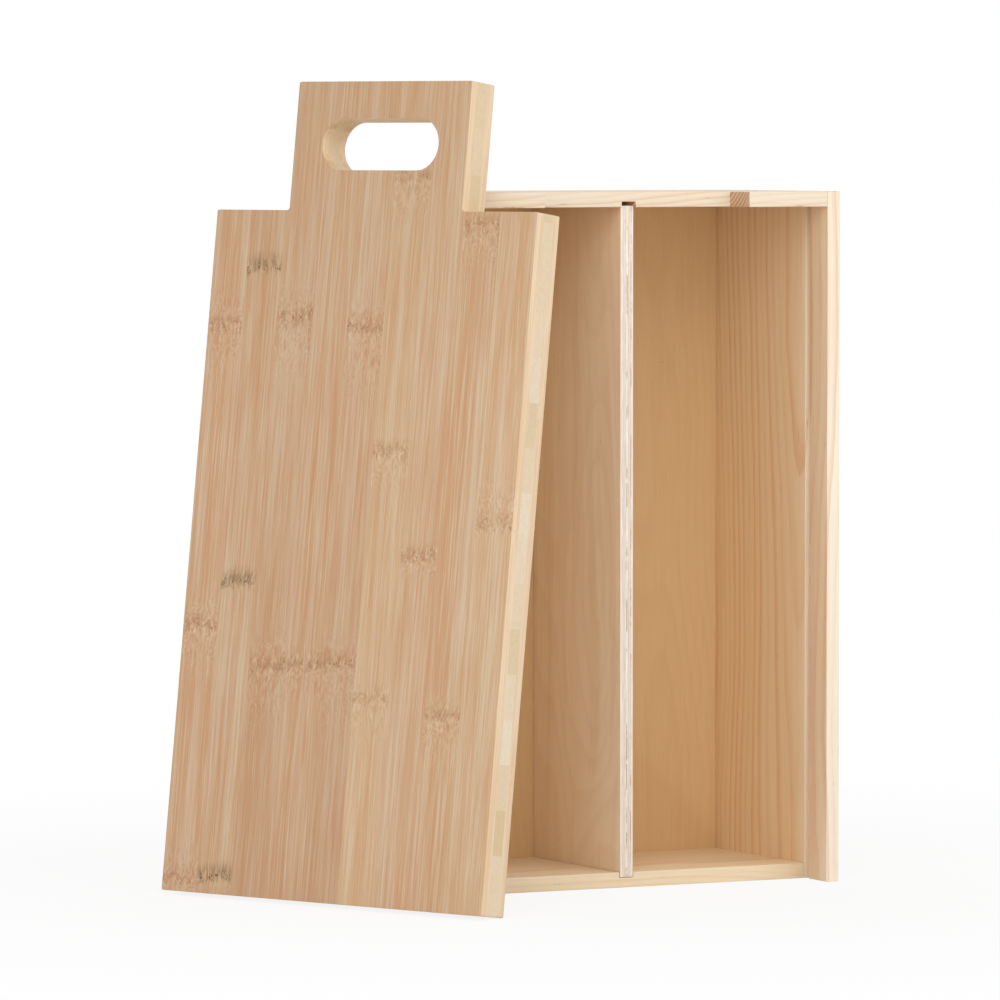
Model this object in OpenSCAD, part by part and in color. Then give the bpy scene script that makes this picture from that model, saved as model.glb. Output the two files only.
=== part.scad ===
// Two-bottle wooden wine box. Its lid is a bamboo serving board, taken off and leaning on the box.
// The box stands upright with its open front towards -Y. The origin is the middle of its footprint.

/* [Box] */
// Outside width of the box
box_w = 215; // [200:1:260]
// Outside height of the standing box
box_h = 340; // [320:1:380]
// Front-to-back width of the side panels
side_d = 112; // [105:1:140]
// Thickness of the side panels
side_t = 7; // [6:0.5:10]
// Thickness of the top and bottom panels
end_t = 7.5; // [6:0.5:10]
// Thickness of the back panel, nailed over the back edges
back_t = 4; // [3:0.5:8]

/* [Side grooves] */
// From the front edge of a side panel to its groove
groove_setback = 17.5; // [15:0.5:22]
// Width of the groove
groove_w = 4; // [3:0.5:6]
// Depth of the groove
groove_d = 3; // [2:0.5:4]

/* [Divider] */
// Thickness of the divider
divider_t = 7; // [5:0.5:9]
// Depth of the dadoes that hold the divider
dado_d = 2.7; // [2:0.1:4]
// Clearance on each face of the divider in its dadoes
dado_clear = 0.3; // [0.1:0.05:0.8]
// Gap over the divider's top edge, in the top dado
divider_head_gap = 2; // [0.5:0.1:2.5]
// Gap under the divider's bottom edge, in the bottom dado
divider_foot_gap = 0.3; // [0.1:0.05:0.8]
// Gap between the divider and the back panel
divider_back_gap = 0.5; // [0.2:0.1:2]

/* [Lid board] */
// Thickness of each face layer of the board
face_t = 5; // [4:0.5:7]
// Thickness of the core layer of the board
core_t = 7; // [5:0.5:9]
// Gap on each side of the closed lid, between the side panels
lid_side_gap = 0.5; // [0.3:0.1:2]
// Gap between the shoulders of the closed lid and the top panel
lid_head_gap = 0.5; // [0.3:0.1:2]
// Width of the handle tab
tab_w = 108; // [90:1:130]
// Length of the handle tab, above the shoulders
tab_l = 62.5; // [55:0.5:80]
// Fillet where the tab meets the shoulders
shoulder_r = 1.5; // [0.5:0.25:3]
// Width of the hand slot over its round ends
slot_w = 72; // [60:1:84]
// Height of the hand slot
slot_h = 25; // [20:0.5:30]
// From the top of the tab to the middle of the hand slot
slot_drop = 30.5; // [26:0.5:34]

/* [Lid strips] */
// From the edge of the tab to the first face seam beside it
tab_strip_lap = 1.75; // [1:0.25:6]
// From the shoulders down to the first core seam
shoulder_strip_lap = 4; // [2:0.5:8]
// Share of a whole core strip that is left of the lowest one
lowest_strip_share = 0.35; // [0.2:0.05:1]

/* [Notch in the top panel] */
// Gap on each side of the tab in its notch
notch_side_gap = 2.4; // [1:0.1:4]
// Gap in front of and behind the closed lid, together, in the notch
notch_back_gap = 2.5; // [1:0.1:4]

/* [Lid at rest] */
// Angle that the leaning lid is turned from the front of the box
lid_turn = 66.7; // [45:0.1:80]
// From the box's corner to the lid's foot, square to the lid
lid_foot_out = 44; // [35:0.1:70]
// From the middle of the lid to where it leans on the corner
lid_shift = 32; // [0:1:50]
// Gap between the leaning lid and the corner
lid_rest_gap = 0.3; // [0.2:0.1:1]

/* [Brads] */
// Diameter of a brad's shank
brad_d = 1.2; // [1:0.1:1.6]
// Diameter of a brad's head
brad_head_d = 2; // [1.8:0.1:2.6]
// Thickness of a brad's head
brad_head_t = 0.8; // [0.5:0.1:1.2]
// Length of the brads that hold the corners
corner_brad_l = 20; // [15:1:30]
// Length of the brads that hold the back panel
back_brad_l = 16; // [12:1:25]
// From the end of a row of brads to the end of the wood
brad_margin = 10; // [8:1:16]

/* [Hidden] */
$fn = 48;
EPS = 1;                       // how far a cut runs past the face that it opens
BRAD_CLEAR = 0.02;             // around a brad in its hole
SHOULDER_STRIPS = 2;           // face strips on each side of the tab's own
TAB_STRIPS = 5;                // face strips that run up into the tab
BODY_CORE_STRIPS = 16;         // core strips below the tab's own, the lowest one cut down
TAB_CORE_STRIPS = 3;           // core strips of the tab
END_BRADS = 3;                 // brads along each end panel's corner, behind the groove
SIDE_BRADS = 4;                // back panel brads up each side panel

function numbered(stem, i) = str(stem, i < 10 ? "_0" : "_", i);
function row(first, last, n) = [for (i = [0:n - 1]) first + (last - first) * i / (n - 1)];

inner_w = box_w - 2 * side_t;
box_d = side_d + back_t;
front_y = -box_d / 2;
back_y = front_y + side_d;     // where the back panel starts
recess = groove_setback + groove_w;
seat_y = front_y + recess;     // front of the bottom panel and of the divider
ceiling_z = box_h - end_t;
dado_w = divider_t + 2 * dado_clear;

lid_t = 2 * face_t + core_t;
lid_w = inner_w - 2 * lid_side_gap;
lid_body_l = ceiling_z - lid_head_gap;
lid_l = lid_body_l + tab_l;

// Where the face strips start and end, from the left edge of the lid to the right one
tab_strips_w = tab_w + 2 * tab_strip_lap;
shoulder_strip_w = (lid_w - tab_strips_w) / 2 / SHOULDER_STRIPS;
face_seams = concat(
    [for (i = [0:SHOULDER_STRIPS]) i * shoulder_strip_w - lid_w / 2],
    [for (i = [1:TAB_STRIPS]) i * tab_strips_w / TAB_STRIPS - tab_strips_w / 2],
    [for (i = [1:SHOULDER_STRIPS]) i * shoulder_strip_w + tab_strips_w / 2]
);
FACE_STRIPS = len(face_seams) - 1;

// Where the core strips start and end, from the foot of the lid to its top
tab_core_z = lid_body_l - shoulder_strip_lap;
core_strip_h = tab_core_z / (BODY_CORE_STRIPS - 1 + lowest_strip_share);
core_seams = concat(
    [0],
    [for (i = [0:BODY_CORE_STRIPS - 1]) (i + lowest_strip_share) * core_strip_h],
    [for (i = [1:TAB_CORE_STRIPS]) tab_core_z + i * (lid_l - tab_core_z) / TAB_CORE_STRIPS]
);
CORE_STRIPS = len(core_seams) - 1;

notch_w = tab_w + 2 * notch_side_gap;
notch_d = lid_t + notch_back_gap;

lid_lean = atan((lid_foot_out - lid_rest_gap) / box_h);
lid_along = [cos(lid_turn), -sin(lid_turn)];   // towards the lid's right edge
lid_back = [sin(lid_turn), cos(lid_turn)];     // from the lid towards the box
lid_foot = [-box_w / 2, front_y] - lid_foot_out * lid_back - lid_shift * lid_along;

end_brad_y = row(seat_y + brad_margin, back_y - brad_margin, END_BRADS);
side_brad_z = row(end_t + brad_margin, ceiling_z - brad_margin, SIDE_BRADS);

// A brad, pointing along +Z, with its head's top at the origin
module brad(length) {
    cylinder(d = brad_head_d, h = brad_head_t);
    cylinder(d = brad_d, h = length);
}

// The hole that a brad leaves, open at the head
module brad_hole(length) {
    translate([0, 0, -EPS])
        cylinder(d = brad_head_d + 2 * BRAD_CLEAR, h = EPS + brad_head_t + BRAD_CLEAR);
    cylinder(d = brad_d + 2 * BRAD_CLEAR, h = length + BRAD_CLEAR);
}

// Places of the brads driven through the side panels into the ends of the top and bottom panels.
// The top panel has one more at its front, before the groove.
module at_corner_brads() {
    for (side = [-1, 1]) {
        for (y = concat([front_y + groove_setback / 2], end_brad_y))
            translate([side * box_w / 2, y, box_h - end_t / 2]) rotate([0, -side * 90, 0]) children();
        for (y = end_brad_y)
            translate([side * box_w / 2, y, end_t / 2]) rotate([0, -side * 90, 0]) children();
    }
}

// Places of the brads driven through the back panel
module at_back_brads() {
    for (side = [-1, 1]) {
        for (z = side_brad_z)
            translate([side * (box_w - side_t) / 2, back_y + back_t, z]) rotate([90, 0, 0]) children();
        for (z = [end_t / 2, box_h - end_t / 2])
            translate([side * inner_w / 4, back_y + back_t, z]) rotate([90, 0, 0]) children();
    }
}

module brad_holes() {
    at_corner_brads() brad_hole(corner_brad_l);
    at_back_brads() brad_hole(back_brad_l);
}

// A side panel, full height and depth; side is -1 for the left one and 1 for the right one
module side_panel(side) {
    outer_x = side * box_w / 2;
    inner_x = side * inner_w / 2;
    color("burlywood") difference() {
        translate([min(outer_x, inner_x), front_y, 0]) cube([side_t, side_d, box_h]);
        translate([inner_x, front_y + groove_setback + groove_w / 2, box_h / 2])
            cube([2 * groove_d, groove_w, box_h + 2 * EPS], center = true);
        brad_holes();
    }
}

// The top panel fits between the sides. Its notch lets the lid's tab through.
module top_panel() {
    color("wheat") difference() {
        translate([-inner_w / 2, front_y, ceiling_z]) cube([inner_w, side_d, end_t]);
        translate([-notch_w / 2, front_y - EPS, ceiling_z - EPS])
            cube([notch_w, notch_d + EPS, end_t + 2 * EPS]);
        translate([-dado_w / 2, front_y, ceiling_z - EPS]) cube([dado_w, side_d + EPS, dado_d + EPS]);
        brad_holes();
    }
}

// The bottom panel is set back, so that the lid can slide in from below
module bottom_panel() {
    color("wheat") difference() {
        translate([-inner_w / 2, seat_y, 0]) cube([inner_w, side_d - recess, end_t]);
        translate([-dado_w / 2, seat_y - EPS, end_t - dado_d]) cube([dado_w, side_d + EPS, dado_d + EPS]);
        brad_holes();
    }
}

module back_panel() {
    color("blanchedalmond") difference() {
        translate([-box_w / 2, back_y, 0]) cube([box_w, back_t, box_h]);
        brad_holes();
    }
}

// The divider stands in the two dadoes and slides out at the front
module divider() {
    foot_z = end_t - dado_d + divider_foot_gap;
    head_z = ceiling_z + dado_d - divider_head_gap;
    color("antiquewhite") translate([-divider_t / 2, seat_y, foot_z])
        cube([divider_t, side_d - recess - divider_back_gap, head_z - foot_z]);
}

module corner_brads() {
    color("silver") at_corner_brads() brad(corner_brad_l);
}

module back_brads() {
    color("silver") at_back_brads() brad(back_brad_l);
}

// Stands a piece of the lid, made flat against the plane y = 0, on its back edge against the corner
module stand_lid() {
    translate([lid_foot.x, lid_foot.y, 0]) rotate([0, 0, -lid_turn]) rotate([-lid_lean, 0, 0]) children();
}

module hand_slot() {
    straight = slot_w - slot_h;
    translate([-straight / 2, lid_l - slot_drop - slot_h / 2]) square([straight, slot_h]);
    for (side = [-1, 1])
        translate([side * straight / 2, lid_l - slot_drop]) circle(d = slot_h);
}

// One inner corner between a shoulder and the tab, on the right for side 1 and on the left for -1
module shoulder_fillet(side) {
    corner_x = side * (tab_w / 2 + shoulder_r);
    difference() {
        translate([min(side * tab_w / 2, corner_x), lid_body_l]) square(shoulder_r);
        translate([corner_x, lid_body_l + shoulder_r]) circle(r = shoulder_r);
    }
}

module lid_outline() {
    difference() {
        union() {
            translate([-lid_w / 2, 0]) square([lid_w, lid_body_l]);
            translate([-tab_w / 2, 0]) square([tab_w, lid_l]);
            for (side = [-1, 1])
                shoulder_fillet(side);
        }
        hand_slot();
    }
}

// One strip of the lid: what the outline leaves of a rectangle, in the layer whose back face is at depth
module lid_strip(corner, size, depth, thickness) {
    stand_lid() translate([0, -depth, 0]) rotate([90, 0, 0]) linear_extrude(thickness) intersection() {
        lid_outline();
        translate(corner) square(size);
    }
}

// Face strips are numbered from the left and run up the board
module face_strip(i, depth) {
    lid_strip([face_seams[i - 1], 0], [face_seams[i] - face_seams[i - 1], lid_l], depth, face_t);
}

module lid_back_strip(i) {
    color("peru") face_strip(i, 0);
}

module lid_front_strip(i) {
    color("tan") face_strip(i, face_t + core_t);
}

// Core strips are numbered from the bottom and run across the board
module lid_core_strip(i) {
    strip_h = core_seams[i] - core_seams[i - 1];
    color("khaki") lid_strip([-lid_w / 2, core_seams[i - 1]], [lid_w, strip_h], face_t, core_t);
}

side_panel(-1);  // side_left
side_panel(1);  // side_right
top_panel();
bottom_panel();
back_panel();
divider();
corner_brads();
back_brads();
for (i = [1:FACE_STRIPS]) {
    lid_front_strip(i);
    lid_back_strip(i);
}
for (i = [1:CORE_STRIPS])
    lid_core_strip(i);
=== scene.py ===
import math
from collections import namedtuple

import bmesh
import bpy
from mathutils import Euler, Matrix, Vector


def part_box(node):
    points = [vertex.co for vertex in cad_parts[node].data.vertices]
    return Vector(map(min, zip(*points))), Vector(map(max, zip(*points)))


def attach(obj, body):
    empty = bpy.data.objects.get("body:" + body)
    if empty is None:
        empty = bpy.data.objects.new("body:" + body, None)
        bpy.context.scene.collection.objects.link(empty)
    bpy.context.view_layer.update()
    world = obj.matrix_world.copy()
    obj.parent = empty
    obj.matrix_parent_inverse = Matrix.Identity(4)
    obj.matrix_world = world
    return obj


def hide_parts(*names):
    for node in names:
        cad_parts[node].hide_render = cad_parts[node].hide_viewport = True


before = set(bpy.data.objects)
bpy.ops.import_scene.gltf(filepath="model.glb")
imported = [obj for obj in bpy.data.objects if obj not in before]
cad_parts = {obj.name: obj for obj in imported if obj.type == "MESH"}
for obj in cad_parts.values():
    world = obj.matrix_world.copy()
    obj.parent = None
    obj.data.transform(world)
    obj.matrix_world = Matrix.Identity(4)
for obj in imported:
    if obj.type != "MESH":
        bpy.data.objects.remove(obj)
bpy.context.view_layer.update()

# Two-bottle wooden wine box, and its lid, a three-layer bamboo serving board that leans on it.
# Lengths are in metres, in the frame of the CAD model.

MM = 0.001
X, Y, Z = range(3)
AXES = ((1, 0, 0), (0, 1, 0), (0, 0, 1))
FACING = 0.9                   # share of a normal along an axis above which its face looks that way

# Box
SIDE_T = 7 * MM
END_T = 7.5 * MM
GROOVE_SETBACK = 17.5 * MM
GROOVE_W = 4 * MM
GROOVE_D = 3 * MM
DADO_D = 2.7 * MM
DADO_W = 7.6 * MM
NOTCH_W = 112.8 * MM
NOTCH_D = 19.5 * MM
EASE = 0.35 * MM               # how far the arrises of the pine are sanded off
BACK_EASE = 0.2 * MM
DIVIDER_EASE = 0.15 * MM
EASE_ANGLE = math.radians(40)
SMOOTH_ANGLE = math.radians(35)

# Plywood: where glue lines are fine grooves round its edges, as shares of its thickness
BACK_GLUE = (0.33, 0.67)
DIVIDER_GLUE = (0.19, 0.39, 0.63, 0.83)
GLUE_GROOVE_W = 0.12 * MM
GLUE_GROOVE_D = 0.12 * MM

# Brads
BRAD_HEAD_R = 1 * MM
BRAD_HEAD_T = 0.8 * MM
BRAD_HEAD_EASE = 0.2 * MM
BRAD_DISH_RIM = 0.25 * MM
BRAD_DISH_D = 0.12 * MM
BRAD_SHANK_R = 0.6 * MM
BRAD_POINT = 2 * MM
BRAD_TIP = 0.15                # width of the point's end, as a share of the shank's
BRAD_SINK = 0.1 * MM
BRAD_CLEAR = 0.02 * MM
CORNER_BRAD_L = 20 * MM
BACK_BRAD_L = 16 * MM
BRAD_MARGIN = 10 * MM
CUTTER_PROUD = 1 * MM          # how far a cutter stands out of what it cuts
END_BRADS = 3
SIDE_BRADS = 4

# Lid board, in its own frame: x to the right, y to the back and z up from its bottom back edge
LID_W = 200 * MM
BODY_L = 332 * MM
TAB_W = 108 * MM
TAB_L = 62.5 * MM
FACE_T = 5 * MM
CORE_T = 7 * MM
LID_L = BODY_L + TAB_L
LID_T = 2 * FACE_T + CORE_T
SHOULDER_R = 1.5 * MM
SLOT_W = 72 * MM
SLOT_H = 25 * MM
SLOT_DROP = 30.5 * MM
CORNER_EASE = 1 * MM
RIM_EASE = 0.5 * MM
TAB_STRIP_LAP = 1.75 * MM
SHOULDER_STRIP_LAP = 4 * MM
LOWEST_STRIP_SHARE = 0.35
SHOULDER_STRIPS = 2
TAB_STRIPS = 5
BODY_CORE_STRIPS = 16
TAB_CORE_STRIPS = 3

# Where the lid leans
LID_TURN = math.radians(66.7)
LID_FOOT_OUT = 44 * MM
LID_SHIFT = 32 * MM
LID_REST_GAP = 0.3 * MM


# ---------------------------------------------------------------- sizes from the frame

side_low, side_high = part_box("side_right")
back_low, back_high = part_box("back_panel")
top_low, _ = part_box("top_panel")
bottom_low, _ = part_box("bottom_panel")
front_y, back_y = side_low.y, side_high.y
box_w, box_h = back_high.x - back_low.x, back_high.z
inner_w = box_w - 2 * SIDE_T

lid_lean = math.atan((LID_FOOT_OUT - LID_REST_GAP) / box_h)
lid_along = Vector((math.cos(LID_TURN), -math.sin(LID_TURN), 0))
lid_back = Vector((math.sin(LID_TURN), math.cos(LID_TURN), 0))
lid_foot = Vector((-box_w / 2, front_y, 0)) - LID_FOOT_OUT * lid_back - LID_SHIFT * lid_along
lid_angles = Euler((-lid_lean, 0, -LID_TURN))
lid_place = Matrix.Translation(lid_foot) @ lid_angles.to_matrix().to_4x4()
lid_up = lid_angles.to_matrix() @ Vector((0, 0, 1))


# ---------------------------------------------------------------- shader arithmetic

class Flow:
    """A value, vector or colour in a material. Arithmetic on it adds Math nodes."""

    def __init__(self, socket):
        self.socket = socket

    def node(self, kind, settings=(), values=(), output=0):
        """Adds a node: its settings first, then the values or links of its sockets."""
        return add_node(self.socket.id_data, kind, settings, values, output)

    def math(self, operation, *values):
        return self.node("Math", {"operation": operation}, dict(enumerate(values)))

    def __add__(self, other):
        return self.math("ADD", self, other)

    __radd__ = __add__

    def __sub__(self, other):
        return self.math("SUBTRACT", self, other)

    def __rsub__(self, other):
        return self.math("SUBTRACT", other, self)

    def __mul__(self, other):
        return self.math("MULTIPLY", self, other)

    __rmul__ = __mul__

    def __truediv__(self, other):
        return self.math("DIVIDE", self, other)

    def __gt__(self, other):
        return self.math("GREATER_THAN", self, other)

    def __abs__(self):
        return self.math("ABSOLUTE", self)

    def at_least(self, other):
        return self.math("MAXIMUM", self, other)

    def floor(self):
        return self.math("FLOOR", self)

    def fade(self, low, high):
        """0 below low, 1 above high and smooth between them; low may be the larger one."""
        if low > high:
            return 1 - self.fade(high, low)
        settings = {"interpolation_type": "SMOOTHSTEP"}
        values = {"Value": self, "From Min": low, "From Max": high, "To Min": 0.0, "To Max": 1.0}
        return self.node("MapRange", settings, values)

    def stretched(self, x, y, z):
        """A vector with its axes scaled."""
        return self.node("VectorMath", {"operation": "MULTIPLY"}, {0: self, 1: (x, y, z)})

    def axes(self):
        """The three numbers of a vector."""
        parts = self.node("SeparateXYZ", (), {0: self})
        return [Flow(socket) for socket in parts.socket.node.outputs]

    def noise(self, detail=2.0, roughness=0.5):
        """Smooth noise round 0.5 of a vector, one bump to a unit."""
        values = {"Vector": self, "Scale": 1.0, "Detail": detail, "Roughness": roughness}
        return self.node("TexNoise", (), values)

    def towards(self, direction):
        """How squarely a normal faces a direction or its opposite, from 0 to 1."""
        values = {0: self, 1: tuple(direction)}
        return abs(self.node("VectorMath", {"operation": "DOT_PRODUCT"}, values, "Value"))

    def facing(self, direction):
        """1 where a normal looks in a direction or its opposite, and 0 where it looks away."""
        return self.towards(direction).fade(0.6, 0.85)


def add_node(tree, kind, settings=(), values=(), output=0):
    """Adds a node to a tree. Gives its output as a Flow, or the node itself where it has no output."""
    node = tree.nodes.new("ShaderNode" + kind)
    for name, setting in dict(settings).items():
        if name == "stops":
            set_stops(node.color_ramp, setting)
        else:
            setattr(node, name, setting)
    for key, value in dict(values).items():
        if isinstance(value, Flow):
            tree.links.new(value.socket, node.inputs[key])
        else:
            node.inputs[key].default_value = value
    return Flow(node.outputs[output]) if node.outputs else node


def set_stops(color_ramp, stops):
    while len(color_ramp.elements) < len(stops):
        color_ramp.elements.new(1.0)
    for element, (position, colour) in zip(color_ramp.elements, stops):
        element.position = position
        element.color = colour


def first_flow(*parts):
    return next(part for part in parts if isinstance(part, Flow))


def vector(x, y, z):
    """A vector of three numbers, at least one of them a Flow."""
    return first_flow(x, y, z).node("CombineXYZ", (), {"X": x, "Y": y, "Z": z})


def mix(share, first, second):
    """Colour first with share of colour second laid over it; at least one of the three is a Flow. The
    colours of a Mix node are its sockets 6 and 7, and its output 2."""
    values = {0: share, 6: first, 7: second}
    return first_flow(share, first, second).node("Mix", {"data_type": "RGBA"}, values, 2)


def ramp(flow, *stops):
    return flow.node("ValToRGB", {"stops": stops}, {0: flow})


def tint(red, green, blue):
    """A colour as it shows on a screen, from 0 to 255, as a linear one."""
    def linear(level):
        level /= 255
        return level / 12.92 if level <= 0.04045 else ((level + 0.055) / 1.055) ** 2.4
    return (linear(red), linear(green), linear(blue), 1.0)


def new_finish(name):
    """An empty material and the Object coordinates and normal that its pattern starts from."""
    material = bpy.data.materials.new(name)
    material.use_nodes = True
    tree = material.node_tree
    tree.nodes.clear()
    place = add_node(tree, "TexCoord", output="Object")
    normal = Flow(place.socket.node.outputs["Normal"])
    return material, place, normal


def close_finish(material, colour, roughness, relief, relief_depth, metallic=0.0):
    """Joins a pattern to the surface of its material."""
    tree = material.node_tree
    bump = {"Height": relief, "Distance": relief_depth, "Strength": 1.0}
    values = {"Base Color": colour, "Roughness": roughness, "Metallic": metallic,
              "Normal": add_node(tree, "Bump", (), bump)}
    surface = add_node(tree, "BsdfPrincipled", (), values)
    add_node(tree, "OutputMaterial", (), {"Surface": surface})
    return material


# ---------------------------------------------------------------- bamboo

def board_place(place):
    """Object coordinates turned into the lid board's own frame, in millimetres."""
    values = {"Vector": place, "Location": lid_foot, "Rotation": lid_angles, "Scale": (MM, MM, MM)}
    return place.node("Mapping", {"vector_type": "TEXTURE"}, values)


def bundle_dots(across, up, seed):
    """The cut ends of bamboo's fibre bundles: 1 in each dot and 0 between them."""
    values = {"Vector": vector(across * 1.5, seed, up * 1.5), "Scale": 1.0, "Randomness": 0.9}
    cells = across.node("TexVoronoi", {"feature": "F1"}, values)
    return cells.fade(0.36, 0.16)


# How a node ring looks: shares of its haze and its dots, teeth to a millimetre across and up the strip, and
# the tints of its haze, its dark and its light teeth, and its dots
Ring = namedtuple("Ring", "haze_share dot_share teeth_per_mm haze dark light dots")
BROWN = Ring(0.42, 0.66, (0.8, 0.26), tint(170, 121, 78), tint(176, 126, 86), tint(226, 196, 158),
             tint(120, 80, 52))
GREY = Ring(0.55, 0.85, (1.3, 0.12), tint(142, 114, 76), tint(132, 104, 70), tint(206, 176, 134),
            tint(98, 76, 52))

# A face strip: the heights of its node rings in millimetres, how far its fibres are feathered above and
# below a ring, how strong its rings are, how much paler its foot and its top are, or darker where that is
# under 0, how pink it is, and how its rings look
Strip = namedtuple("Strip", "rings reach strength tones blush look")


def over_ring(across, y, z, rings, seed):
    """Height over the nearest node ring, which waves and slopes a little across the strip."""
    nearest = rings[0]
    for lower, upper in zip(rings, rings[1:]):
        nearest = nearest + (z > (lower + upper) / 2) * (upper - lower)
    wave = (vector(across * 0.16, y * 0.1, seed).noise(1.0) - 0.5) * 9
    return z - nearest + wave


def feathered(colour, fibre, x, y, z, ringside, seed):
    """Feathered fibres round a ring, with nested arcs where they swerve. ringside is 1 at the ring and 0
    out of its reach."""
    flecks = vector(fibre * 1.2, y + seed, z * 0.2).noise(2.0, 0.6)
    feather = flecks.fade(0.5, 0.38) * ringside
    colour = mix(feather * 0.42, colour, tint(184, 135, 100))
    colour = mix(flecks.fade(0.52, 0.64) * ringside * 0.42, colour, tint(220, 193, 160))
    swerve = vector(x * 0.15, y * 0.1 + seed, z * 0.07).noise(1.0) * 10
    arc = abs(swerve - swerve.math("ROUND", swerve)) * 2
    colour = mix(arc.fade(0.5, 0.1) * ringside * 0.32, colour, tint(186, 138, 102))
    colour = mix(arc.fade(0.5, 0.9) * ringside * 0.36, colour, tint(218, 190, 157))
    return colour, feather


def ring_marked(colour, strip, rise, fibre, x, z, seed):
    """The node ring itself: a haze, light and dark teeth, and a row of small dark dots. rise is the height
    over it."""
    look, strength = strip.look, strip.strength
    patches = vector(x * 0.45, seed, z * 0.16).noise().fade(0.34, 0.56)
    haze = rise.fade(9, 0.5) * strength * rise.fade(-4, 0) * patches
    colour = mix(haze * look.haze_share, colour, look.haze)
    teeth = vector(fibre * look.teeth_per_mm[0], seed, z * look.teeth_per_mm[1]).noise(2.0, 0.6)
    band = rise.fade(7.5, 2.0) * strength * rise.fade(-7.0, -2.0)
    colour = mix(teeth.fade(0.5, 0.38) * band * 0.54, colour, look.dark)
    colour = mix(teeth.fade(0.53, 0.63) * band * 0.54, colour, look.light)
    values = {"Vector": vector(fibre * 0.95, seed, rise * 0.45), "Scale": 1.0, "Randomness": 1.0}
    cells = x.node("TexVoronoi", {"feature": "F1"}, values)
    line = rise.fade(3.6, 1.8) * strength * rise.fade(-3.4, -1.2)
    gaps = vector(x * 0.22, seed + 3.0, z * 0.05).noise(1.0).fade(0.32, 0.44)
    dots = cells.fade(0.42, 0.2) * line * gaps
    return mix(dots * look.dot_share, colour, look.dots), dots


def bamboo_long(name, middle, strip, seed):
    """A face strip. Its fibres run up the board, and middle is its middle across it, in millimetres."""
    material, place, normal = new_finish(name)
    x, y, z = board_place(place).axes()
    rise = over_ring(x - middle, y, z, strip.rings, seed)
    above, below = strip.reach
    ringside = rise.fade(above, 0) * rise.fade(-below, -1)

    # Fibres that run straight, and wobble near a ring
    drift = (vector(x * 0.03, seed, z * 0.006).noise(1.0) - 0.5) * 1.8
    wobble = (vector(x * 0.45, y * 0.3 + seed, z * 0.16).noise(2.0, 0.6) - 0.5) * ringside * 5
    fibre = x + drift + wobble
    broad = vector(fibre * 0.15, y * 0.2 + seed, z * 0.0055).noise(2.0)
    streak = vector(fibre * 0.7, y * 0.5 + seed, z * 0.012).noise(3.0, 0.62)
    fine = vector(fibre * 2.0, y * 1.5 + seed, z * 0.024).noise(2.0, 0.62)
    colour = ramp(broad, (0.38, tint(199, 155, 113)), (0.46, tint(203, 167, 128)),
                  (0.55, tint(204, 167, 133)), (0.64, tint(208, 182, 147)))
    colour = mix(streak.fade(0.5, 0.34) * 0.44, colour, tint(196, 142, 100))
    colour = mix(streak.fade(0.52, 0.66) * 0.48, colour, tint(210, 187, 157))
    colour = mix(fine.fade(0.5, 0.36) * 0.52, colour, tint(194, 138, 101))
    colour = mix(fine.fade(0.53, 0.66) * 0.62, colour, tint(217, 197, 167))

    colour, feather = feathered(colour, fibre, x, y, z, ringside, seed)
    colour, dots = ring_marked(colour, strip, rise, fibre, x, z, seed)

    # The strip's own tone, and a shade that all strips have towards the top of the board
    foot, top = strip.tones
    level = foot + z.fade(0, 340) * (top - foot)
    colour = mix(level.at_least(0.0), colour, tint(236, 208, 165))
    colour = mix((0.0 - level).at_least(0.0), colour, tint(166, 117, 72))
    colour = mix(strip.blush, colour, tint(206, 158, 130))
    colour = mix(z.fade(230, 380) * 0.16, colour, tint(158, 118, 74))

    # Cut ends, at the top and bottom of the board
    cut = ramp(broad, (0.35, tint(222, 192, 150)), (0.65, tint(232, 205, 166)))
    cut = mix(bundle_dots(x, y, seed) * 0.6, cut, tint(160, 116, 76))
    colour = mix(normal.facing(lid_up), colour, cut)

    # Edges of the board: pale and plain
    pale = ramp(streak, (0.3, tint(223, 190, 150)), (0.6, tint(234, 210, 177)))
    pale = mix(fine.fade(0.55, 0.3) * 0.5, pale, tint(216, 178, 136))
    colour = mix(normal.facing(lid_along), colour, pale)

    relief = fine * 0.5 + streak * 0.3 - dots * 0.8 - feather * 0.3
    return close_finish(material, colour, 0.5 + (0.5 - streak) * 0.25 + dots * 0.2, relief, 0.06 * MM)


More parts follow.
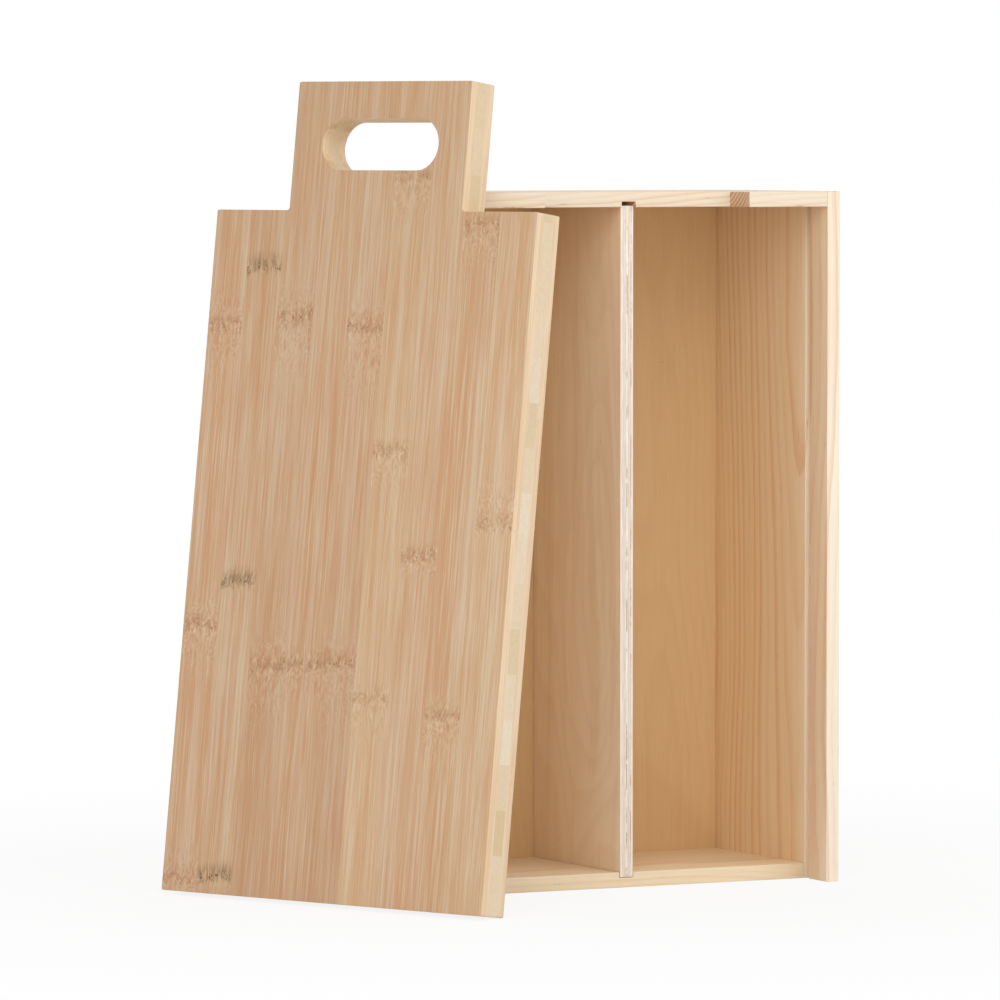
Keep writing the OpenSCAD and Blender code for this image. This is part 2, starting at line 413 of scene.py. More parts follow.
def bamboo_cross(name, tone, seed):
    """A core strip. Its fibres run across the board; tone goes from 0, dark ochre, to 1, pale."""
    material, place, normal = new_finish(name)
    x, y, z = board_place(place).axes()
    fibre = z + (vector(x * 0.01, seed, z * 0.05).noise(1.0) - 0.5) * 3
    streak = vector(x * 0.009, y * 0.6 + seed, fibre * 0.6).noise(3.0, 0.65)
    fine = vector(x * 0.03, y * 2.4 + seed, fibre * 2.4).noise(2.0, 0.7)

    dark, medium, pale = tint(216, 191, 151), tint(226, 205, 174), tint(231, 216, 192)
    ground = tuple(a + (b - a) * min(1, 2 * tone) for a, b in zip(dark, medium))
    ground = tuple(a + (b - a) * max(0, 2 * tone - 1) for a, b in zip(ground, pale))
    colour = mix(streak.fade(0.48, 0.32) * 0.45, ground, tint(202, 160, 112))
    colour = mix(fine.fade(0.48, 0.3) * 0.35, colour, tint(196, 152, 108))
    colour = mix(fine.fade(0.56, 0.7) * 0.3, colour, tint(244, 226, 198))

    # Cut ends, at the edges of the board: dots of the fibre bundles, closer on one side
    end = normal.facing(lid_along)
    dots = bundle_dots(y, z, seed)
    crowd = vector(x * 0.01, y * 0.12, z * 0.06 + seed).noise(1.0).fade(0.35, 0.65)
    ends = mix(dots * (0.1 + crowd * 0.22), ground, tint(176, 134, 88))
    cloud = vector(seed, y * 0.5, z * 0.35).noise(2.0)
    ends = mix(cloud.fade(0.6, 0.35) * 0.15, ends, tint(206, 176, 132))
    colour = mix(end, colour, ends)

    relief = fine * (1 - end) + dots * end * -0.5
    return close_finish(material, colour, 0.55 + (fine - 0.5) * 0.2, relief, 0.05 * MM)


# ---------------------------------------------------------------- pine and plywood

def late_wood(first, second, along, pith, lean, ring, seed):
    """The dark part of pine's year rings, from 0 to 1. Each ring darkens slowly and ends sharply."""
    slow = vector(first * 0.012, second * 0.012 + seed, along * 0.0032)
    sway = (slow.noise(1.0) - 0.5) * 26
    waver = (vector(first * 0.05, second * 0.05 + seed, along * 0.012).noise(2.0) - 0.5) * 3.4
    a = first - pith[0] - along * lean[0]
    b = second - pith[1] - along * lean[1]
    square = a * a + b * b
    year = (square.math("SQRT", square) + sway + waver) / ring
    number = year.floor()
    part = year - number
    chance = vector(number * 0.37 + seed, number * 0.73, 0.5).noise(0.0)
    late = part.fade(0.35, 0.93) * part.fade(1.0, 0.93)
    return late * (0.35 + chance.fade(0.35, 0.65) * 0.65)


def pine(name, grain, ground, pith, lean, ring, seed, depth=1.0, inner_shade=0.0):
    """Solid pine. grain is the axis that it runs along, and ground is the tint between its rings. pith is
    the middle of the log across the grain, in millimetres, lean is how far it wanders for each millimetre
    along, and ring is how wide a year's ring is. depth is how dark the rings are, and inner_shade is how
    much painted shade, darker and warmer, lies on the faces that look left and right, away from the front,
    for the dim bounced light inside the box."""
    material, place, normal = new_finish(name)
    parts = place.stretched(1 / MM, 1 / MM, 1 / MM).axes()
    along = parts[grain]
    first, second = [part for axis, part in enumerate(parts) if axis != grain]

    late = late_wood(first, second, along, pith, lean, ring, seed)
    soft = vector(first * 0.03, second * 0.03 + seed, along * 0.004).noise(2.0)
    colour = mix(soft.fade(0.56, 0.36) * 0.3, ground, tint(236, 208, 166))
    # Painted shade: faces that look left and right turn darker and warmer away from the front, for the dim
    # bounced light inside the box
    wide_face = normal.facing(AXES[X]) * parts[Y].fade(front_y / MM - 40, front_y / MM + 45)
    colour = mix(wide_face * inner_shade, colour, tint(232, 194, 138))
    colour = mix(late * (0.38 + wide_face * 0.1) * depth, colour, tint(218, 161, 106))

    # Fibres, short resin ducts and grey stains
    fibre = vector(first * 1.3, second * 1.3 + seed, along * 0.02).noise(3.0, 0.65)
    colour = mix(fibre.fade(0.48, 0.3) * 0.22, colour, tint(212, 168, 124))
    colour = mix(fibre.fade(0.55, 0.72) * 0.25, colour, tint(250, 237, 214))
    ducts = vector(first * 0.9, second * 0.9 + seed, along * 0.09).noise(2.0, 0.75)
    ducts = ducts.fade(0.665, 0.73) * late.fade(0.1, 0.5)
    colour = mix(ducts * 0.5, colour, tint(178, 124, 78))
    stain = vector(first * 0.09, second * 0.09 + seed, along * 0.006).noise(1.0).fade(0.7, 0.8)
    colour = mix(stain * 0.2, colour, tint(150, 132, 116))

    # End grain is darker, and its rings are redder
    end = normal.facing(AXES[grain])
    pores = vector(first * 2.2, second * 2.2, seed).noise(2.0, 0.7)
    cut = ramp(pores, (0.35, tint(204, 164, 126)), (0.65, tint(228, 196, 162)))
    colour = mix(end, colour, mix(late * 0.85, cut, tint(152, 98, 64)))

    relief = fibre * 0.6 - late * 0.35 - ducts + pores * end * 0.5
    return close_finish(material, colour, 0.62 + (fibre - 0.5) * 0.2 - late * 0.06, relief, 0.07 * MM)


# Glue lines that show on an edge of plywood: the share of the thickness where each lies, and its strength
GLUE_LINES = ((0.19, 0.3), (0.39, 0.4), (0.52, 0.9), (0.63, 0.35), (0.83, 0.8))


def ply_edge(parts, thin_axis, share, normal, seed):
    """An edge of plywood: whitish layers, cross layers that are greyer, and broken dark glue lines. It
    also gives how torn the edge is."""
    level_edge = normal.towards(AXES[Z])
    along = parts[Z] * level_edge.fade(0.7, 0.5) + parts[Y] * level_edge.fade(0.5, 0.7)
    torn = vector(parts[thin_axis] * 1.6, seed, along * 0.06).noise(3.0, 0.7)
    cross = share.fade(0.18, 0.2) * share.fade(0.4, 0.38) + share.fade(0.62, 0.64) * share.fade(0.84, 0.82)
    edge = mix(torn.fade(0.35, 0.65), tint(236, 222, 207), tint(252, 245, 236))
    edge = mix(cross * 0.5, edge, tint(226, 210, 195))
    for glue, strength in GLUE_LINES:
        broken = vector(glue * 31, seed, along * 0.05).noise(3.0, 0.75).fade(0.47, 0.57)
        line = abs(share - glue).fade(0.045, 0.012)
        edge = mix(line * broken * strength, edge, tint(158, 106, 72))
    return edge, torn


def plywood(name, thin_axis, faces, grain, veneer, seed):
    """Plywood whose layers lie across thin_axis. faces are its two face planes, in metres, grain is the
    axis that its face veneers run along, and veneer is the tint of each of them."""
    material, place, normal = new_finish(name)
    parts = place.stretched(1 / MM, 1 / MM, 1 / MM).axes()
    low, high = (face / MM for face in faces)
    along = parts[grain]
    [across] = [part for axis, part in enumerate(parts) if axis not in (thin_axis, grain)]
    share = (parts[thin_axis] - low) / (high - low)

    # Smooth and pale, with the wide faint contours of a peeled log
    bend = (vector(across * 0.01, seed, along * 0.004).noise(2.0) - 0.5) * 40
    figure = vector((across + bend) * 0.055, seed, along * 0.003).noise(3.0, 0.55)
    colour = mix(share.fade(0.45, 0.55), *veneer)
    colour = mix(abs(figure - 0.5).fade(0.03, 0.16) * 0.22, colour, tint(218, 180, 132))
    level = vector(across * 0.011, seed, along * 0.0026).noise(2.0, 0.35) * 26
    contour = level - level.floor()
    contour = contour.fade(0.3, 0.92) * contour.fade(1.0, 0.92)
    colour = mix(contour * 0.08, colour, tint(196, 148, 100))
    # Painted shade: warmer and browner towards the top, where the top panel shades the inside of the box
    colour = mix(parts[Z].fade(230, 390) * 0.6, colour, tint(232, 190, 138))

    # Hair-fine fibres and dark specks
    hair = vector(across * 1.4, seed, along * 0.03).noise(3.0, 0.65)
    colour = mix(hair.fade(0.47, 0.3) * 0.22, colour, tint(204, 162, 118))
    colour = mix(hair.fade(0.56, 0.7) * 0.2, colour, tint(243, 220, 184))
    specks = vector(across * 0.35, seed + 7.0, along * 0.2).noise(1.0, 0.9).fade(0.765, 0.8)
    colour = mix(specks * 0.45, colour, tint(160, 112, 72))

    edge, torn = ply_edge(parts, thin_axis, share, normal, seed)
    on_edge = normal.towards(AXES[thin_axis]).fade(0.6, 0.35)
    colour = mix(on_edge, colour, edge)
    relief = hair * 0.5 + torn * on_edge
    return close_finish(material, colour, 0.6 + (hair - 0.5) * 0.2, relief, 0.06 * MM)


def bright_wire():
    material, place, _ = new_finish("bright_wire")
    worn = place.stretched(900, 900, 900).noise(3.0)
    colour = mix(worn.fade(0.4, 0.65), tint(150, 148, 145), tint(196, 195, 192))
    return close_finish(material, colour, 0.28 + worn * 0.2, worn, 0.02 * MM, 1.0)


# ---------------------------------------------------------------- modelling

def deselect():
    """Leaves edit mode and selects nothing."""
    if bpy.context.mode != "OBJECT":
        bpy.ops.object.mode_set(mode="OBJECT")
    bpy.ops.object.select_all(action="DESELECT")


def take(piece):
    """Leaves a piece active and alone selected."""
    deselect()
    piece.select_set(True)
    bpy.context.view_layer.objects.active = piece


def settle(piece):
    """Puts a piece's place into its mesh."""
    take(piece)
    bpy.ops.object.transform_apply(location=True, rotation=True, scale=True)
    return piece


def block(name, low, high):
    """A squared blank from its low to its high corner."""
    deselect()
    low, high = Vector(low), Vector(high)
    bpy.ops.mesh.primitive_cube_add(size=1, location=(low + high) / 2)
    piece = bpy.context.active_object
    piece.name = piece.data.name = name
    piece.scale = high - low
    return settle(piece)


def copied(piece, name):
    twin = piece.copy()
    twin.data = piece.data.copy()
    twin.name = twin.data.name = name
    bpy.context.scene.collection.objects.link(twin)
    return twin


def edit(piece):
    take(piece)
    bpy.ops.object.mode_set(mode="EDIT")


def choose_faces(test):
    """Selects the faces whose middle and normal pass the test, in edit mode."""
    bpy.ops.mesh.select_mode(type="FACE")
    bpy.ops.mesh.select_all(action="DESELECT")
    mesh = bpy.context.edit_object.data
    shape = bmesh.from_edit_mesh(mesh)
    for face in shape.faces:
        face.select_set(test(face.calc_center_median(), face.normal))
    bmesh.update_edit_mesh(mesh)


def choose_edges(test):
    """Selects the edges whose two ends pass the test, in edit mode."""
    bpy.ops.mesh.select_mode(type="EDGE")
    bpy.ops.mesh.select_all(action="DESELECT")
    mesh = bpy.context.edit_object.data
    shape = bmesh.from_edit_mesh(mesh)
    for edge in shape.edges:
        edge.select_set(test(edge.verts[0].co, edge.verts[1].co))
    bmesh.update_edit_mesh(mesh)


def score(point, normal):
    """Cuts a line of edges all round the piece in edit mode."""
    bpy.ops.mesh.select_all(action="SELECT")
    bpy.ops.mesh.bisect(plane_co=point, plane_no=normal)


def pull(x=0.0, y=0.0, z=0.0):
    """Extrudes the chosen faces."""
    bpy.ops.mesh.extrude_region_move(TRANSFORM_OT_translate={"value": (x, y, z)})


def near(a, b):
    """Whether two lengths agree within a hundredth of a millimetre."""
    return abs(a - b) < 0.01 * MM


def apply_modifier(piece, kind, **settings):
    take(piece)
    modifier = piece.modifiers.new(kind.lower(), kind)
    for name, setting in settings.items():
        setattr(modifier, name, setting)
    bpy.ops.object.modifier_apply(modifier=modifier.name)
    return piece


def eased(piece, width=EASE):
    """Sands off the arrises."""
    return apply_modifier(piece, "BEVEL", width=width, segments=3, limit_method="ANGLE",
                          angle_limit=EASE_ANGLE, harden_normals=False)


def cut_out(piece, cutter):
    apply_modifier(piece, "BOOLEAN", operation="DIFFERENCE", solver="EXACT", object=cutter)
    bpy.data.objects.remove(cutter)
    return piece


def joined(pieces, name):
    deselect()
    for piece in pieces:
        piece.select_set(True)
    bpy.context.view_layer.objects.active = pieces[0]
    bpy.ops.object.join()
    piece = bpy.context.active_object
    piece.name = piece.data.name = name
    return piece


def finish_piece(piece, finish, slot, body, *nodes):
    """Gives a piece its finish and its body, and hides the CAD nodes that it stands for."""
    take(piece)
    bpy.ops.object.shade_smooth_by_angle(angle=SMOOTH_ANGLE)
    piece.data.materials.clear()
    piece.data.materials.append(finish)
    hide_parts(*nodes)
    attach(piece, body)


# ---------------------------------------------------------------- brads

def row(first, last, count):
    """Evenly spaced places from first to last."""
    return [first + (last - first) * i / (count - 1) for i in range(count)]


def corner_brad_places():
    """Where the brads go through the side panels, and the turn that points each inwards."""
    seat_y = bottom_low.y
    behind_groove = row(seat_y + BRAD_MARGIN, back_y - BRAD_MARGIN, END_BRADS)
    for side in (-1, 1):
        turn = Matrix.Rotation(-side * math.pi / 2, 4, "Y")
        for y in [front_y + GROOVE_SETBACK / 2] + behind_groove:
            yield Matrix.Translation((side * box_w / 2, y, box_h - END_T / 2)) @ turn
        for y in behind_groove:
            yield Matrix.Translation((side * box_w / 2, y, END_T / 2)) @ turn


def back_brad_places():
    """Where the brads go through the back panel."""
    turn = Matrix.Rotation(math.pi / 2, 4, "X")
    for side in (-1, 1):
        for z in row(END_T + BRAD_MARGIN, box_h - END_T - BRAD_MARGIN, SIDE_BRADS):
            yield Matrix.Translation((side * (box_w - SIDE_T) / 2, back_high.y, z)) @ turn
        for z in (END_T / 2, box_h - END_T / 2):
            yield Matrix.Translation((side * inner_w / 4, back_high.y, z)) @ turn


def brad(length):
    """One wire brad along z, with a dished head near the origin and a point at its far end."""
    deselect()
    bpy.ops.mesh.primitive_cylinder_add(vertices=24, radius=BRAD_HEAD_R, depth=BRAD_HEAD_T,
                                        location=(0, 0, BRAD_SINK + BRAD_HEAD_T / 2))
    piece = settle(bpy.context.active_object)
    edit(piece)
    choose_faces(lambda middle, normal: normal.z < -FACING)
    bpy.ops.mesh.bevel(offset=BRAD_HEAD_EASE, segments=2, affect="EDGES")
    choose_faces(lambda middle, normal: normal.z < -FACING)
    bpy.ops.mesh.inset(thickness=BRAD_DISH_RIM)
    pull(z=BRAD_DISH_D)
    choose_faces(lambda middle, normal: normal.z > FACING and middle.z > BRAD_HEAD_T)
    bpy.ops.mesh.inset(thickness=BRAD_HEAD_R - BRAD_SHANK_R)
    pull(z=length - BRAD_HEAD_T - BRAD_SINK - BRAD_POINT)
    pull(z=BRAD_POINT)
    bpy.ops.transform.resize(value=(BRAD_TIP, BRAD_TIP, 1), center_override=(0, 0, length))
    bpy.ops.object.mode_set(mode="OBJECT")
    return piece


def brad_drill(length):
    """What a brad's hole takes away, head seat and shank."""
    deselect()
    bpy.ops.mesh.primitive_cylinder_add(vertices=24, radius=BRAD_HEAD_R + BRAD_CLEAR,
                                        depth=CUTTER_PROUD + BRAD_HEAD_T,
                                        location=(0, 0, (BRAD_HEAD_T - CUTTER_PROUD) / 2))
    piece = settle(bpy.context.active_object)
    edit(piece)
    choose_faces(lambda middle, normal: normal.z > FACING)
    bpy.ops.mesh.inset(thickness=BRAD_HEAD_R - BRAD_SHANK_R)
    pull(z=length - BRAD_HEAD_T)
    bpy.ops.object.mode_set(mode="OBJECT")
    return piece


def set_out(pattern, places, name):
    """Copies of a pattern at each of the places, as one piece."""
    pieces = []
    for place in places:
        piece = copied(pattern, name)
        piece.data.transform(place)
        pieces.append(piece)
    bpy.data.objects.remove(pattern)
    return joined(pieces, name)


def drilled(piece):
    """Takes the brad holes out of a panel."""
    cut_out(piece, set_out(brad_drill(CORNER_BRAD_L), corner_brad_places(), "corner_drill"))
    return cut_out(piece, set_out(brad_drill(BACK_BRAD_L), back_brad_places(), "back_drill"))


def lay_brads():
    wire = bright_wire()
    corner = set_out(brad(CORNER_BRAD_L), corner_brad_places(), "wire_brads_corner")
    finish_piece(corner, wire, "steel", "box", "corner_brads")
    back = set_out(brad(BACK_BRAD_L), back_brad_places(), "wire_brads_back")
    finish_piece(back, wire, "steel", "box", "back_brads")


# ---------------------------------------------------------------- box

def side_panel(side, name, node, finish):
    """A side panel: a thin board with two lands raised on its inner face, which leave the groove."""
    outer_x = side * box_w / 2
    web_x = outer_x - side * (SIDE_T - GROOVE_D)
    groove_y = front_y + GROOVE_SETBACK
    piece = block(name, (min(outer_x, web_x), front_y, 0), (max(outer_x, web_x), back_y, box_h))
    edit(piece)
    score((0, groove_y, 0), AXES[Y])
    score((0, groove_y + GROOVE_W, 0), AXES[Y])
    for land in (lambda y: y < groove_y, lambda y: y > groove_y + GROOVE_W):
        choose_faces(lambda middle, normal: near(middle.x, web_x) and land(middle.y))
        pull(x=-side * GROOVE_D)
    bpy.ops.object.mode_set(mode="OBJECT")
    finish_piece(drilled(eased(piece)), finish, "pine", "box", node)


def top_panel(finish):
    """The top panel: a plain board, with a horn pulled forward on each side of the notch, and thickened
    on each side of the divider's dado."""
    notch_y = front_y + NOTCH_D
    piece = block("pine_top", (-inner_w / 2, notch_y, top_low.z + DADO_D), (inner_w / 2, back_y, box_h))
    edit(piece)
    for x in (-NOTCH_W / 2, -DADO_W / 2, DADO_W / 2, NOTCH_W / 2):
        score((x, 0, 0), AXES[X])
    choose_faces(lambda middle, normal: normal.y < -FACING and abs(middle.x) > NOTCH_W / 2)
    pull(y=-NOTCH_D)
    choose_faces(lambda middle, normal: normal.z < -FACING and abs(middle.x) > DADO_W / 2)
    pull(z=-DADO_D)
    bpy.ops.object.mode_set(mode="OBJECT")
    finish_piece(drilled(eased(piece)), finish, "pine", "box", "top_panel")


def bottom_panel(finish):
    """The bottom panel, thickened on each side of the divider's dado."""
    piece = block("pine_bottom", bottom_low, (inner_w / 2, back_y, END_T - DADO_D))
    edit(piece)
    for x in (-DADO_W / 2, DADO_W / 2):
        score((x, 0, 0), AXES[X])
    choose_faces(lambda middle, normal: normal.z > FACING and abs(middle.x) > DADO_W / 2)
    pull(z=DADO_D)
    bpy.ops.object.mode_set(mode="OBJECT")
    finish_piece(drilled(eased(piece)), finish, "pine", "box", "bottom_panel")


def layered_board(name, low, high, thin_axis, shares):
    """A plywood board whose glue lines are fine grooves round its edges."""
    piece = block(name, low, high)
    edit(piece)
    normal = AXES[thin_axis]
    thickness = high[thin_axis] - low[thin_axis]
    lines = [low[thin_axis] + share * thickness for share in shares]
    half = GLUE_GROOVE_W / 2
    for line in lines:
        for place in (line - half, line + half):
            score([place * part for part in normal], normal)
    choose_faces(lambda middle, facing: abs(facing[thin_axis]) < 1 - FACING
                 and any(abs(middle[thin_axis] - line) < half for line in lines))
    bpy.ops.mesh.extrude_region_shrink_fatten(TRANSFORM_OT_shrink_fatten={"value": -GLUE_GROOVE_D})
    bpy.ops.object.mode_set(mode="OBJECT")
    return piece


def make_panels():
    pale = tint(246, 232, 211)
    # Both side panels get painted shade on their faces away from the front, the right one much more
    left = pine("pine_left", Z, pale, pith=(-30, 62), lean=(0.02, 0.02), ring=2.2, seed=4.0, inner_shade=0.1)
    side_panel(-1, "pine_side_left", "side_left", left)
    right = pine("pine_right", Z, pale, pith=(58, -34), lean=(0.004, 0.02), ring=4.2, seed=1.0, inner_shade=0.6)
    side_panel(1, "pine_side_right", "side_right", right)
    top = pine("pine_top", X, tint(238, 223, 200), pith=(6, 398), lean=(0.02, 0.03), ring=2.2, seed=7.0)
    top_panel(top)
    bottom = pine("pine_bottom", X, tint(237, 217, 184), pith=(-10, -58), lean=(0.02, -0.03), ring=2.4,
                  seed=2.0, depth=0.9)
    bottom_panel(bottom)


def make_back():
    low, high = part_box("back_panel")
    board = layered_board("plywood_back", low, high, Y, BACK_GLUE)
    # The inside veneer is darker and warmer than the outside one: partly its own tone and partly painted
    # shade for the dim light deep inside the box
    veneer = (tint(226, 189, 139), tint(233, 208, 170))
    finish = plywood("plywood_back", Y, (low.y, high.y), Z, veneer, 3.0)
    finish_piece(drilled(eased(board, BACK_EASE)), finish, "plywood", "box", "back_panel")


def make_divider():
    low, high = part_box("divider")
    board = layered_board("plywood_divider", low, high, X, DIVIDER_GLUE)
    veneer = (tint(248, 228, 200), tint(236, 211, 170))
    finish = plywood("plywood_divider", X, (low.x, high.x), Z, veneer, 5.0)
    finish_piece(eased(board, DIVIDER_EASE), finish, "plywood", "divider", "divider")


# ---------------------------------------------------------------- lid

def face_seams():
    """Where the face strips start and end, from the left edge of the board to the right one."""
    tab_half = TAB_W / 2 + TAB_STRIP_LAP
    beside = row(tab_half, LID_W / 2, SHOULDER_STRIPS + 1)
    return [-x for x in reversed(beside)] + row(-tab_half, tab_half, TAB_STRIPS + 1)[1:-1] + beside


def core_seams():
    """Where the core strips start and end, from the foot of the board to its top."""
    tab_core_z = BODY_L - SHOULDER_STRIP_LAP
    height = tab_core_z / (BODY_CORE_STRIPS - 1 + LOWEST_STRIP_SHARE)
    body = [(i + LOWEST_STRIP_SHARE) * height for i in range(BODY_CORE_STRIPS)]
    return [0.0] + body[:-1] + row(tab_core_z, LID_L, TAB_CORE_STRIPS + 1)


def slot_cutter(front, back):
    """A slot-shaped plug that goes through a layer: a drum split down its middle and drawn apart."""
    deselect()
    bpy.ops.mesh.primitive_cylinder_add(vertices=48, radius=SLOT_H / 2,
                                        depth=back - front + 2 * CUTTER_PROUD,
                                        rotation=(math.pi / 2, 0, 0),
                                        location=(0, (front + back) / 2, LID_L - SLOT_DROP))
    plug = settle(bpy.context.active_object)
    straight = SLOT_W - SLOT_H
    plug_left = copied(plug, "plug_left")
    for half, side in ((plug, 1), (plug_left, -1)):
        edit(half)
        bpy.ops.mesh.select_all(action="SELECT")
        bpy.ops.mesh.bisect(plane_co=(0, 0, 0), plane_no=(side, 0, 0), clear_inner=True)
        bpy.ops.mesh.select_all(action="SELECT")
        bpy.ops.transform.translate(value=(side * straight / 2, 0, 0))
        bpy.ops.object.mode_set(mode="OBJECT")
    plug = joined([plug, plug_left], "slot_plug")
    edit(plug)
    choose_edges(lambda a, b: near(abs(a.x), straight / 2) and near(a.x, b.x))
    bpy.ops.mesh.bridge_edge_loops()
    bpy.ops.mesh.select_all(action="SELECT")
    bpy.ops.mesh.normals_make_consistent(inside=False)
    bpy.ops.object.mode_set(mode="OBJECT")
    return plug


def board_layer(name, front, back):
    """A whole layer of the board, upright in the board's own frame."""
    piece = block(name, (-LID_W / 2, front, 0), (LID_W / 2, back, BODY_L))
    edit(piece)
    for x in (-TAB_W / 2, TAB_W / 2):
        score((x, 0, 0), AXES[X])
    choose_faces(lambda middle, normal: normal.z > FACING and abs(middle.x) < TAB_W / 2)
    pull(z=TAB_L)
    choose_edges(lambda a, b: near(abs(a.x), TAB_W / 2) and near(a.x, b.x)
                 and near(a.z, BODY_L) and near(b.z, BODY_L))
    bpy.ops.mesh.bevel(offset=SHOULDER_R, segments=6, affect="EDGES")

    def outer_corner(point):
        wide = near(abs(point.x), LID_W / 2) and (near(point.z, 0) or near(point.z, BODY_L))
        return wide or near(abs(point.x), TAB_W / 2) and near(point.z, LID_L)

    choose_edges(lambda a, b: outer_corner(a) and outer_corner(b) and near(a.x, b.x) and near(a.z, b.z))
    bpy.ops.mesh.bevel(offset=CORNER_EASE, segments=4, affect="EDGES")
    bpy.ops.object.mode_set(mode="OBJECT")
    return cut_out(piece, slot_cutter(front, back))


def ease_rim(piece, y):
    """Rounds over the outline and the slot's rim on one face of the board."""
    edit(piece)
    bpy.ops.mesh.select_mode(type="EDGE")
    bpy.ops.mesh.select_all(action="DESELECT")
    shape = bmesh.from_edit_mesh(piece.data)
    for edge in shape.edges:
        on_face = all(near(corner.co.y, y) for corner in edge.verts)
        turned = any(abs(face.normal.y) < 0.5 for face in edge.link_faces)
        edge.select_set(on_face and turned)
    bmesh.update_edit_mesh(piece.data)
    bpy.ops.mesh.bevel(offset=RIM_EASE, segments=3, affect="EDGES", clamp_overlap=True)
    bpy.ops.object.mode_set(mode="OBJECT")
    return piece


def cut_strip(layer, name, axis, low, high):
    """The part of a layer between two planes across an axis. A plane on the layer's edge cuts nothing."""
    strip = copied(layer, name)
    places = [corner.co[axis] for corner in layer.data.vertices]
    edit(strip)
    normal = AXES[axis]
    for place, keep in ((low, "clear_inner"), (high, "clear_outer")):
        if min(places) + MM < place < max(places) - MM:
            bpy.ops.mesh.select_all(action="SELECT")
            bpy.ops.mesh.bisect(plane_co=[place * part for part in normal], plane_no=normal,
                                use_fill=True, **{keep: True})
    bpy.ops.object.mode_set(mode="OBJECT")
    strip.data.transform(lid_place)
    return strip


# Face strips, from the left
FRONT_STRIPS = (
    Strip((6, 129, 275), (24, 34), 0.9, (0.02, -0.03), 0.1, BROWN),
    Strip((8, 151, 304), (5, 8), 1.0, (-0.04, -0.14), 0.0, GREY),
    Strip((112, 281), (26, 46), 1.1, (-0.2, -0.1), 0.06, BROWN),
    Strip((113,), (14, 26), 0.9, (-0.08, -0.06), 0.05, BROWN),
    Strip((114, 275), (20, 46), 1.0, (-0.22, -0.02), 0.08, BROWN),
    Strip((98, 216, 348), (8, 28), 0.75, (0.17, 0.04), 0.0, BROWN),
    Strip((-20, 167), (8, 16), 0.9, (0.06, 0.04), 0.08, BROWN),
    Strip((92, 325), (14, 30), 0.75, (0.06, 0.02), 0.03, BROWN),
    Strip((-40, 184), (32, 9), 0.8, (0.1, 0.08), 0.0, BROWN),
)
BACK_STRIPS = (
    Strip((74, 232), (20, 30), 0.8, (0.08, 0.0), 0.0, BROWN),
    Strip((21, 180), (30, 12), 0.9, (-0.06, -0.12), 0.06, BROWN),
    Strip((96, 259), (6, 9), 1.0, (0.04, 0.1), 0.08, GREY),
    Strip((140, 318), (24, 46), 0.9, (0.12, 0.04), 0.0, BROWN),
    Strip((58, 205, 372), (14, 30), 0.7, (-0.1, -0.04), 0.05, BROWN),
    Strip((171, 340), (40, 20), 1.0, (0.0, -0.1), 0.1, BROWN),
    Strip((37, 226), (5, 8), 0.9, (0.1, 0.06), 0.0, GREY),
    Strip((120, 286), (20, 36), 0.8, (-0.12, 0.0), 0.04, BROWN),
    Strip((66, 248), (10, 26), 0.7, (0.03, 0.08), 0.06, BROWN),
)
# Tone of each core strip, from the lowest
CORE_TONES = (0.6, 0.55, 0.0, 0.4, 1.0, 0.75, 0.25, 0.55, 0.8, 0.95,
              0.5, 0.2, 0.8, 0.6, 0.5, 0.5, 0.15, 0.4, 0.3)


def make_face(side, front, back, rim_y, strips, first_seed):
    """The strips of the board's front or back face."""
    layer = ease_rim(board_layer("layer_" + side, front, back), rim_y)
    seams = face_seams()
    for i, strip in enumerate(strips):
        name = f"bamboo_{side}_{i + 1:02d}"
        piece = cut_strip(layer, name, X, seams[i], seams[i + 1])
        middle = (seams[i] + seams[i + 1]) / 2 / MM
        finish = bamboo_long(name, middle, strip, first_seed + 3.7 * i)
        finish_piece(piece, finish, "bamboo_face", "lid", f"lid_{side}_strip_{i + 1:02d}")
    bpy.data.objects.remove(layer)


def make_core(front, back):
    """The strips of the board's core."""
    layer = board_layer("layer_core", front, back)
    seams = core_seams()
    for i, tone in enumerate(CORE_TONES):
        name = f"bamboo_core_{i + 1:02d}"
        piece = cut_strip(layer, name, Z, seams[i], seams[i + 1])
        finish = bamboo_cross(name, tone, 2.3 * i)
        finish_piece(piece, finish, "bamboo_core", "lid", f"lid_core_strip_{i + 1:02d}")
    bpy.data.objects.remove(layer)


# ---------------------------------------------------------------- studio

WHITE = (1, 1, 1, 1)
AIR_LIGHT = 0.67
FLOOR_R = 30.0
FLOOR_PAPER = (0.88, 0.88, 0.88, 1)
FLOOR_WHITE = 0.87             # how much of the floor's shadow is hidden close to the box
SHADOW_R = (0.2, 0.7)          # the shadow fades to plain white between these radii
LAMP_AIM = Vector((0, 0, 0.17))
LAMP_AWAY = 3.6
CAMERA_PLACE = (-1.7553, -3.2528, 0.3676)
CAMERA_DOWN = 2.78             # degrees under the level
CAMERA_TURN = 27.657           # degrees to the right of straight ahead
CAMERA_SENSOR = 36
CAMERA_LENS = 270.6
CAMERA_REACH = 100


def sees_white(tree):
    """1 for the rays that see plain white: from the camera, off gloss and through glass."""
    seen = add_node(tree, "LightPath")
    outputs = seen.socket.node.outputs
    for name in ("Is Glossy Ray", "Is Transmission Ray"):
        seen = seen.at_least(Flow(outputs[name]))
    return seen


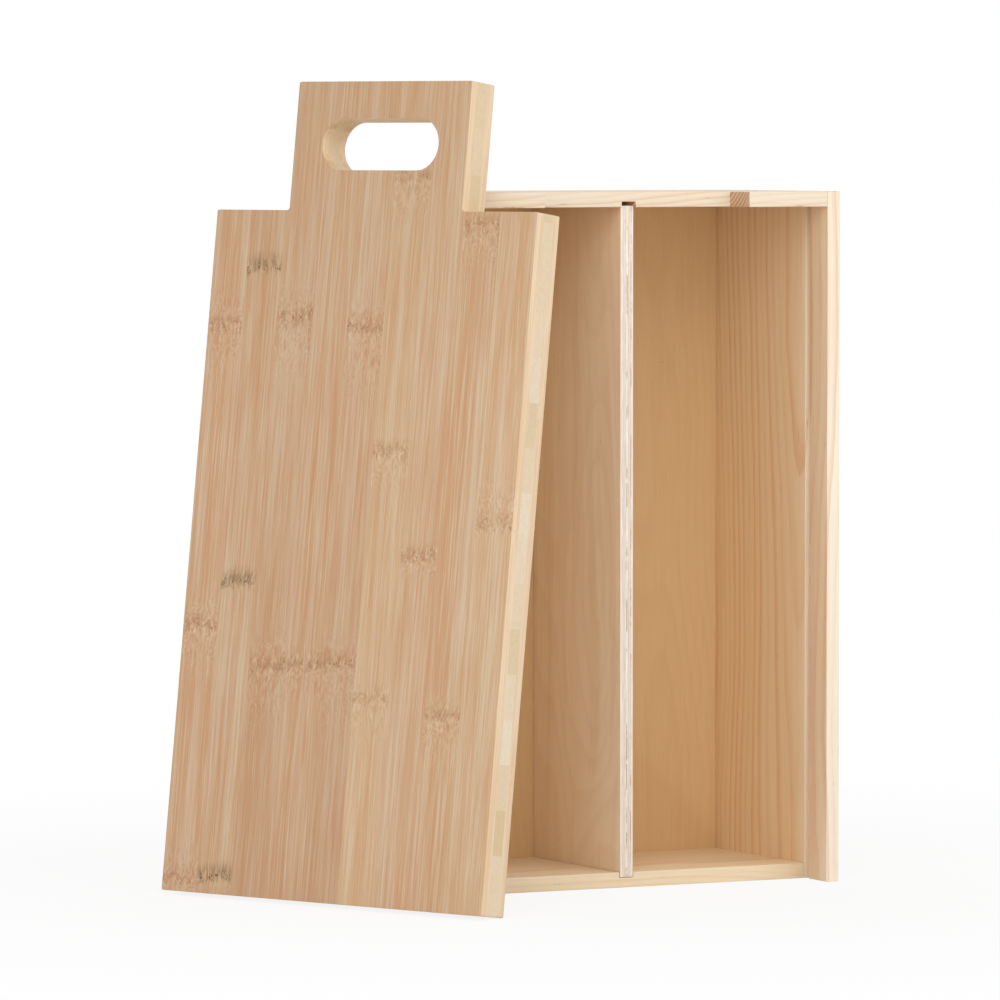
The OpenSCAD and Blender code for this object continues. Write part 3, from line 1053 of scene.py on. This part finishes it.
def make_floor():
    deselect()
    bpy.ops.mesh.primitive_circle_add(vertices=96, radius=FLOOR_R, fill_type="NGON")
    floor = bpy.context.active_object
    floor.name = "floor"
    material, place, _ = new_finish("white_floor")
    tree = material.node_tree
    distance = place.node("VectorMath", {"operation": "LENGTH"}, {0: place}, "Value")
    share = FLOOR_WHITE + distance.fade(*SHADOW_R) * (1 - FLOOR_WHITE)
    paper = add_node(tree, "BsdfDiffuse", (), {"Color": FLOOR_PAPER})
    white = add_node(tree, "Emission", (), {"Color": WHITE, "Strength": 1.0})
    surface = add_node(tree, "MixShader", (), {0: sees_white(tree) * share, 1: paper, 2: white})
    add_node(tree, "OutputMaterial", (), {"Surface": surface})
    floor.data.materials.append(material)


def make_world():
    world = bpy.data.worlds.new("studio")
    bpy.context.scene.world = world
    world.use_nodes = True
    tree = world.node_tree
    tree.nodes.clear()
    air = add_node(tree, "Background", (), {"Color": WHITE, "Strength": AIR_LIGHT})
    white = add_node(tree, "Background", (), {"Color": WHITE, "Strength": 1.0})
    surface = add_node(tree, "MixShader", (), {0: sees_white(tree), 1: air, 2: white})
    add_node(tree, "OutputWorld", (), {"Surface": surface})


def soft_lamp(name, azimuth, elevation, size, power):
    """A square soft box. azimuth turns from the front of the box to its left, and elevation is over the
    level, both in degrees."""
    data = bpy.data.lights.new(name, "AREA")
    data.shape = "SQUARE"
    data.size = size
    data.energy = power
    lamp = bpy.data.objects.new(name, data)
    bpy.context.scene.collection.objects.link(lamp)
    turn, rise = math.radians(azimuth), math.radians(elevation)
    away = Vector((-math.sin(turn) * math.cos(rise), -math.cos(turn) * math.cos(rise), math.sin(rise)))
    lamp.location = LAMP_AIM + away * LAMP_AWAY
    lamp.rotation_euler = away.to_track_quat("Z", "Y").to_euler()


def make_camera():
    data = bpy.data.cameras.new("camera")
    data.sensor_width = CAMERA_SENSOR
    data.lens = CAMERA_LENS
    data.clip_end = CAMERA_REACH
    camera = bpy.data.objects.new("camera", data)
    bpy.context.scene.collection.objects.link(camera)
    camera.location = CAMERA_PLACE
    camera.rotation_euler = (math.radians(90 - CAMERA_DOWN), 0, math.radians(-CAMERA_TURN))
    bpy.context.scene.camera = camera


make_camera()
make_floor()
make_world()
soft_lamp("left", azimuth=42, elevation=14, size=2.4, power=26)
soft_lamp("upper", azimuth=20, elevation=45, size=2.6, power=23)
soft_lamp("right", azimuth=-35, elevation=25, size=2.6, power=21)
make_panels()
make_back()
make_divider()
lay_brads()
make_face("front", -LID_T, -FACE_T - CORE_T, -LID_T, FRONT_STRIPS, 0.0)
make_face("back", -FACE_T, 0.0, 0.0, BACK_STRIPS, 50.0)
make_core(-FACE_T - CORE_T, -FACE_T)
bpy.context.scene.view_settings.view_transform = "Standard"
deselect()
